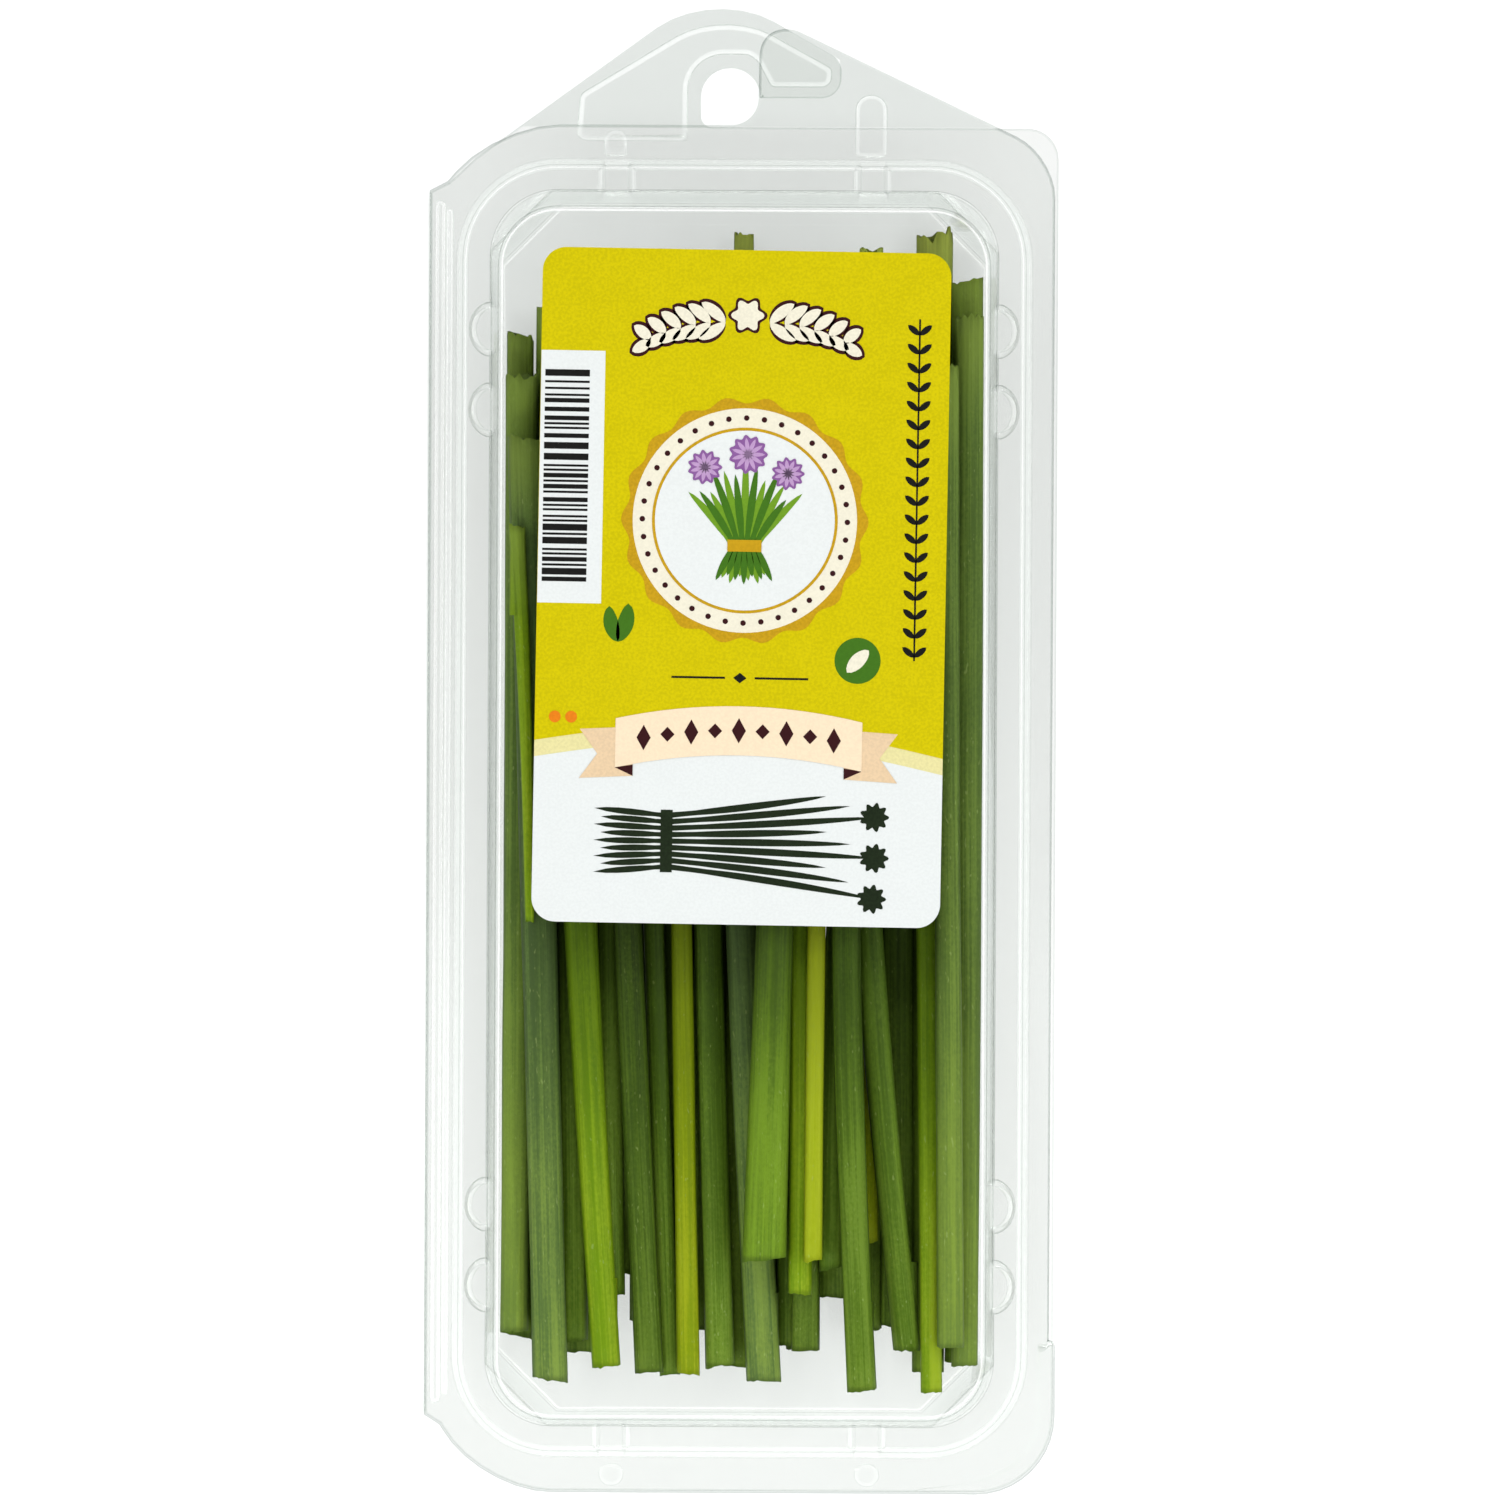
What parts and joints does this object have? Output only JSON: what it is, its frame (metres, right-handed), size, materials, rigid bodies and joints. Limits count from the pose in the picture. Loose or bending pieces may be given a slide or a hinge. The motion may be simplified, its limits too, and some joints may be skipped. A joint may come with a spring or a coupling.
{
  "type": "clamshell pack of fresh cut chives",
  "caption": "Clear hinged clamshell with a hang tab and a plain paper label on its lid, filled with cut chive leaves lying side by side.",
  "frame": {"origin": "centre of the outer box, on the underside of the tray floor", "axes": "+X away from the lid hinge, +Y towards the hang tab, +Z out through the lid"},
  "size_m": [0.085, 0.201, 0.0174],
  "materials": {
    "clear_sheet": "clear glossy thermoformed sheet",
    "label_paper": "printed semi-gloss paper, yellow over white",
    "chive_dark": "dark green leaf with fine lengthwise ribs",
    "chive_green": "mid green leaf with fine lengthwise ribs",
    "chive_bright": "bright green leaf with fine lengthwise ribs"
  },
  "bodies": {
    "tray_body": {"tray": "clear_sheet", "chive_floor_01": "chive_dark", "chive_floor_02": "chive_dark", "chive_floor_03": "chive_dark", "chive_floor_04": "chive_dark", "chive_floor_05": "chive_dark", "chive_floor_06": "chive_dark", "chive_floor_07": "chive_dark", "chive_floor_08": "chive_dark", "chive_floor_09": "chive_dark", "chive_floor_10": "chive_dark", "chive_floor_11": "chive_dark", "chive_floor_12": "chive_dark", "chive_floor_13": "chive_dark", "chive_floor_14": "chive_dark", "chive_floor_15": "chive_dark", "chive_middle_01": "chive_green", "chive_middle_02": "chive_green", "chive_middle_03": "chive_green", "chive_middle_04": "chive_green", "chive_middle_05": "chive_green", "chive_middle_06": "chive_green", "chive_middle_07": "chive_green", "chive_middle_08": "chive_green", "chive_middle_09": "chive_green", "chive_middle_10": "chive_green", "chive_middle_11": "chive_green", "chive_upper_01": "chive_bright", "chive_upper_02": "chive_bright", "chive_upper_03": "chive_bright", "chive_upper_04": "chive_bright", "chive_upper_05": "chive_bright", "chive_upper_06": "chive_bright", "chive_upper_07": "chive_bright", "chive_upper_08": "chive_bright", "chive_upper_09": "chive_bright", "chive_upper_10": "chive_bright", "chive_upper_11": "chive_bright", "chive_torn_tip": "chive_bright"},
    "lid_body": {"lid": "clear_sheet", "label": "label_paper"}
  },
  "joints": [
    {"name": "lid_hinge", "type": "hinge", "parent": "tray_body", "child": "lid_body", "pos_m": [-0.0428, -0.0074, 0.009], "axis": [0, -1, 0], "range_deg": [0, 180]}
  ]
}
